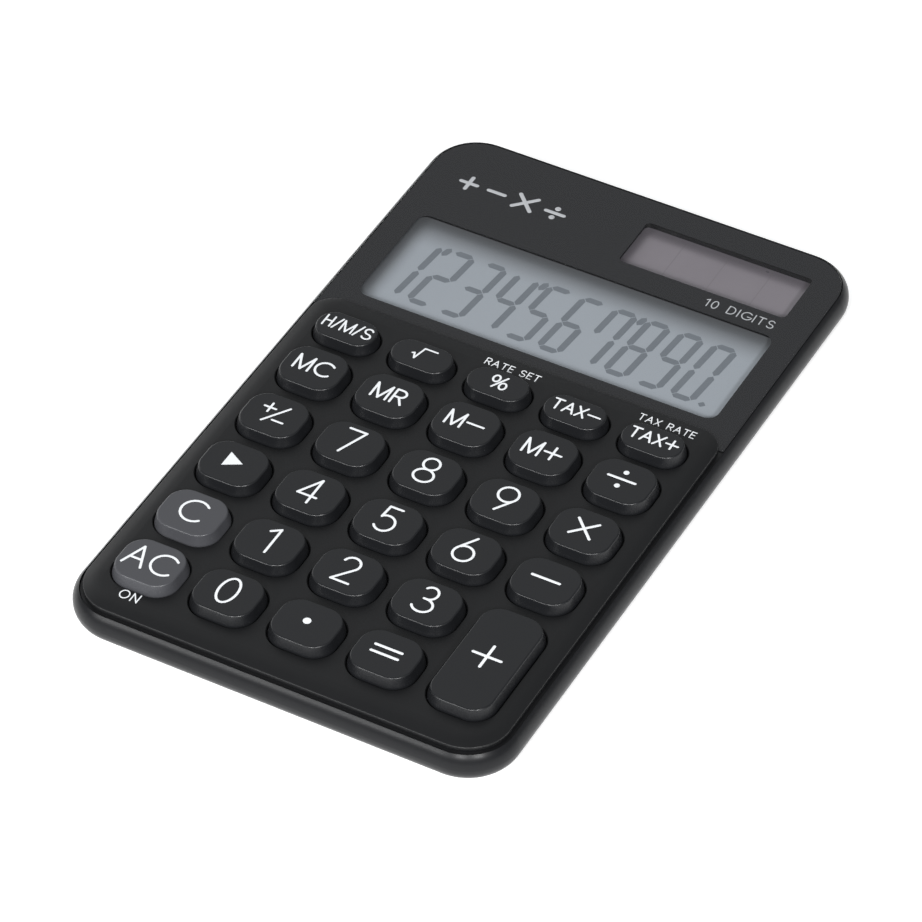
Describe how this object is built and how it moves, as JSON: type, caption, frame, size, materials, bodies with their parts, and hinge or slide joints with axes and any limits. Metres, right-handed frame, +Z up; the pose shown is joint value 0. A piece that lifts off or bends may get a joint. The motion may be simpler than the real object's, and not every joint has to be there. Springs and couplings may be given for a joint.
{
  "type": "pocket calculator",
  "caption": "Thin pocket calculator: pillowed keypad of sprung hard keys, flush dark window over a liquid crystal display and a solar cell, screwed back with a button cell inside.",
  "frame": {"origin": "middle of the footprint, on the surface that the feet stand on", "axes": "+X to the right of a user facing the keys, +Y towards the display end, +Z up out of the keys"},
  "size_m": [0.07, 0.118, 0.0084],
  "materials": {
    "case_plastic": "dark graphite, fine moulded texture",
    "pad_plastic": "dark graphite, satin",
    "window_clear": "clear acrylic, printed dark on its back",
    "lcd_cell": "grey-green liquid crystal glass",
    "lcd_film": "polarising film",
    "lcd_back": "matt reflector",
    "inner_plastic": "moulded",
    "strip_rubber": "layered conductive rubber",
    "solar_film": "thin-film cell on glass",
    "spring_metal": "sprung strip",
    "cell_steel": "satin",
    "board": "solder mask",
    "epoxy": "cured epoxy",
    "capacitor_body": "moulded",
    "resistor_body": "ceramic",
    "mat_rubber": "silicone",
    "screw_steel": "zinc plated",
    "foot_rubber": "soft",
    "key_dark": "hard moulded, satin",
    "key_grey": "hard moulded, satin",
    "legend_ink": "white pad-printed ink",
    "print_ink": "opaque dark grey print on the window's back",
    "sign_ink": "light grey print on the window's back",
    "lcd_digits": "darkened crystal"
  },
  "bodies": {
    "housing": {"rear_case": "case_plastic", "front_case": "pad_plastic", "display_window": "window_clear", "lcd_glass": "lcd_cell", "lcd_polariser": "lcd_film", "lcd_reflector": "lcd_back", "lcd_holder": "inner_plastic", "elastomer_connector": "strip_rubber", "solar_cell": "solar_film", "solar_contacts": "spring_metal", "button_cell": "cell_steel", "battery_contact_minus": "spring_metal", "battery_contact_plus": "spring_metal", "main_pcb": "board", "chip_blob": "epoxy", "capacitor": "capacitor_body", "chip_resistors": "resistor_body", "rubber_keypad": "mat_rubber", "case_screws": "screw_steel", "board_screws": "screw_steel", "rubber_feet": "foot_rubber"},
    "key_hms": {"key_hms": "key_dark"},
    "key_root": {"key_root": "key_dark"},
    "key_percent": {"key_percent": "key_dark"},
    "key_tax_minus": {"key_tax_minus": "key_dark"},
    "key_tax_plus": {"key_tax_plus": "key_dark"},
    "key_mc": {"key_mc": "key_dark"},
    "key_mr": {"key_mr": "key_dark"},
    "key_m_minus": {"key_m_minus": "key_dark"},
    "key_m_plus": {"key_m_plus": "key_dark"},
    "key_divide": {"key_divide": "key_dark"},
    "key_sign": {"key_sign": "key_dark"},
    "key_7": {"key_7": "key_dark"},
    "key_8": {"key_8": "key_dark"},
    "key_9": {"key_9": "key_dark"},
    "key_multiply": {"key_multiply": "key_dark"},
    "key_backspace": {"key_backspace": "key_dark"},
    "key_4": {"key_4": "key_dark"},
    "key_5": {"key_5": "key_dark"},
    "key_6": {"key_6": "key_dark"},
    "key_minus": {"key_minus": "key_dark"},
    "key_c": {"key_c": "key_grey"},
    "key_1": {"key_1": "key_dark"},
    "key_2": {"key_2": "key_dark"},
    "key_3": {"key_3": "key_dark"},
    "key_plus": {"key_plus": "key_dark"},
    "key_ac": {"key_ac": "key_grey"},
    "key_0": {"key_0": "key_dark"},
    "key_point": {"key_point": "key_dark"},
    "key_equals": {"key_equals": "key_dark"}
  },
  "joints": [
    {"name": "key_hms_press", "type": "slide", "parent": "housing", "child": "key_hms", "axis": [0, 0, -1], "range_m": [0, 0.001], "stiffness_N_per_m": 500, "springref_m": -0.0002, "deforming": ["rubber_keypad"]},
    {"name": "key_root_press", "type": "slide", "parent": "housing", "child": "key_root", "axis": [0, 0, -1], "range_m": [0, 0.001], "stiffness_N_per_m": 500, "springref_m": -0.0002, "deforming": ["rubber_keypad"]},
    {"name": "key_percent_press", "type": "slide", "parent": "housing", "child": "key_percent", "axis": [0, 0, -1], "range_m": [0, 0.001], "stiffness_N_per_m": 500, "springref_m": -0.0002, "deforming": ["rubber_keypad"]},
    {"name": "key_tax_minus_press", "type": "slide", "parent": "housing", "child": "key_tax_minus", "axis": [0, 0, -1], "range_m": [0, 0.001], "stiffness_N_per_m": 500, "springref_m": -0.0002, "deforming": ["rubber_keypad"]},
    {"name": "key_tax_plus_press", "type": "slide", "parent": "housing", "child": "key_tax_plus", "axis": [0, 0, -1], "range_m": [0, 0.001], "stiffness_N_per_m": 500, "springref_m": -0.0002, "deforming": ["rubber_keypad"]},
    {"name": "key_mc_press", "type": "slide", "parent": "housing", "child": "key_mc", "axis": [0, 0, -1], "range_m": [0, 0.001], "stiffness_N_per_m": 500, "springref_m": -0.0002, "deforming": ["rubber_keypad"]},
    {"name": "key_mr_press", "type": "slide", "parent": "housing", "child": "key_mr", "axis": [0, 0, -1], "range_m": [0, 0.001], "stiffness_N_per_m": 500, "springref_m": -0.0002, "deforming": ["rubber_keypad"]},
    {"name": "key_m_minus_press", "type": "slide", "parent": "housing", "child": "key_m_minus", "axis": [0, 0, -1], "range_m": [0, 0.001], "stiffness_N_per_m": 500, "springref_m": -0.0002, "deforming": ["rubber_keypad"]},
    {"name": "key_m_plus_press", "type": "slide", "parent": "housing", "child": "key_m_plus", "axis": [0, 0, -1], "range_m": [0, 0.001], "stiffness_N_per_m": 500, "springref_m": -0.0002, "deforming": ["rubber_keypad"]},
    {"name": "key_divide_press", "type": "slide", "parent": "housing", "child": "key_divide", "axis": [0, 0, -1], "range_m": [0, 0.001], "stiffness_N_per_m": 500, "springref_m": -0.0002, "deforming": ["rubber_keypad"]},
    {"name": "key_sign_press", "type": "slide", "parent": "housing", "child": "key_sign", "axis": [0, 0, -1], "range_m": [0, 0.001], "stiffness_N_per_m": 500, "springref_m": -0.0002, "deforming": ["rubber_keypad"]},
    {"name": "key_7_press", "type": "slide", "parent": "housing", "child": "key_7", "axis": [0, 0, -1], "range_m": [0, 0.001], "stiffness_N_per_m": 500, "springref_m": -0.0002, "deforming": ["rubber_keypad"]},
    {"name": "key_8_press", "type": "slide", "parent": "housing", "child": "key_8", "axis": [0, 0, -1], "range_m": [0, 0.001], "stiffness_N_per_m": 500, "springref_m": -0.0002, "deforming": ["rubber_keypad"]},
    {"name": "key_9_press", "type": "slide", "parent": "housing", "child": "key_9", "axis": [0, 0, -1], "range_m": [0, 0.001], "stiffness_N_per_m": 500, "springref_m": -0.0002, "deforming": ["rubber_keypad"]},
    {"name": "key_multiply_press", "type": "slide", "parent": "housing", "child": "key_multiply", "axis": [0, 0, -1], "range_m": [0, 0.001], "stiffness_N_per_m": 500, "springref_m": -0.0002, "deforming": ["rubber_keypad"]},
    {"name": "key_backspace_press", "type": "slide", "parent": "housing", "child": "key_backspace", "axis": [0, 0, -1], "range_m": [0, 0.001], "stiffness_N_per_m": 500, "springref_m": -0.0002, "deforming": ["rubber_keypad"]},
    {"name": "key_4_press", "type": "slide", "parent": "housing", "child": "key_4", "axis": [0, 0, -1], "range_m": [0, 0.001], "stiffness_N_per_m": 500, "springref_m": -0.0002, "deforming": ["rubber_keypad"]},
    {"name": "key_5_press", "type": "slide", "parent": "housing", "child": "key_5", "axis": [0, 0, -1], "range_m": [0, 0.001], "stiffness_N_per_m": 500, "springref_m": -0.0002, "deforming": ["rubber_keypad"]},
    {"name": "key_6_press", "type": "slide", "parent": "housing", "child": "key_6", "axis": [0, 0, -1], "range_m": [0, 0.001], "stiffness_N_per_m": 500, "springref_m": -0.0002, "deforming": ["rubber_keypad"]},
    {"name": "key_minus_press", "type": "slide", "parent": "housing", "child": "key_minus", "axis": [0, 0, -1], "range_m": [0, 0.001], "stiffness_N_per_m": 500, "springref_m": -0.0002, "deforming": ["rubber_keypad"]},
    {"name": "key_c_press", "type": "slide", "parent": "housing", "child": "key_c", "axis": [0, 0, -1], "range_m": [0, 0.001], "stiffness_N_per_m": 500, "springref_m": -0.0002, "deforming": ["rubber_keypad"]},
    {"name": "key_1_press", "type": "slide", "parent": "housing", "child": "key_1", "axis": [0, 0, -1], "range_m": [0, 0.001], "stiffness_N_per_m": 500, "springref_m": -0.0002, "deforming": ["rubber_keypad"]},
    {"name": "key_2_press", "type": "slide", "parent": "housing", "child": "key_2", "axis": [0, 0, -1], "range_m": [0, 0.001], "stiffness_N_per_m": 500, "springref_m": -0.0002, "deforming": ["rubber_keypad"]},
    {"name": "key_3_press", "type": "slide", "parent": "housing", "child": "key_3", "axis": [0, 0, -1], "range_m": [0, 0.001], "stiffness_N_per_m": 500, "springref_m": -0.0002, "deforming": ["rubber_keypad"]},
    {"name": "key_plus_press", "type": "slide", "parent": "housing", "child": "key_plus", "axis": [0, 0, -1], "range_m": [0, 0.001], "stiffness_N_per_m": 500, "springref_m": -0.0002, "deforming": ["rubber_keypad"]},
    {"name": "key_ac_press", "type": "slide", "parent": "housing", "child": "key_ac", "axis": [0, 0, -1], "range_m": [0, 0.001], "stiffness_N_per_m": 500, "springref_m": -0.0002, "deforming": ["rubber_keypad"]},
    {"name": "key_0_press", "type": "slide", "parent": "housing", "child": "key_0", "axis": [0, 0, -1], "range_m": [0, 0.001], "stiffness_N_per_m": 500, "springref_m": -0.0002, "deforming": ["rubber_keypad"]},
    {"name": "key_point_press", "type": "slide", "parent": "housing", "child": "key_point", "axis": [0, 0, -1], "range_m": [0, 0.001], "stiffness_N_per_m": 500, "springref_m": -0.0002, "deforming": ["rubber_keypad"]},
    {"name": "key_equals_press", "type": "slide", "parent": "housing", "child": "key_equals", "axis": [0, 0, -1], "range_m": [0, 0.001], "stiffness_N_per_m": 500, "springref_m": -0.0002, "deforming": ["rubber_keypad"]}
  ]
}
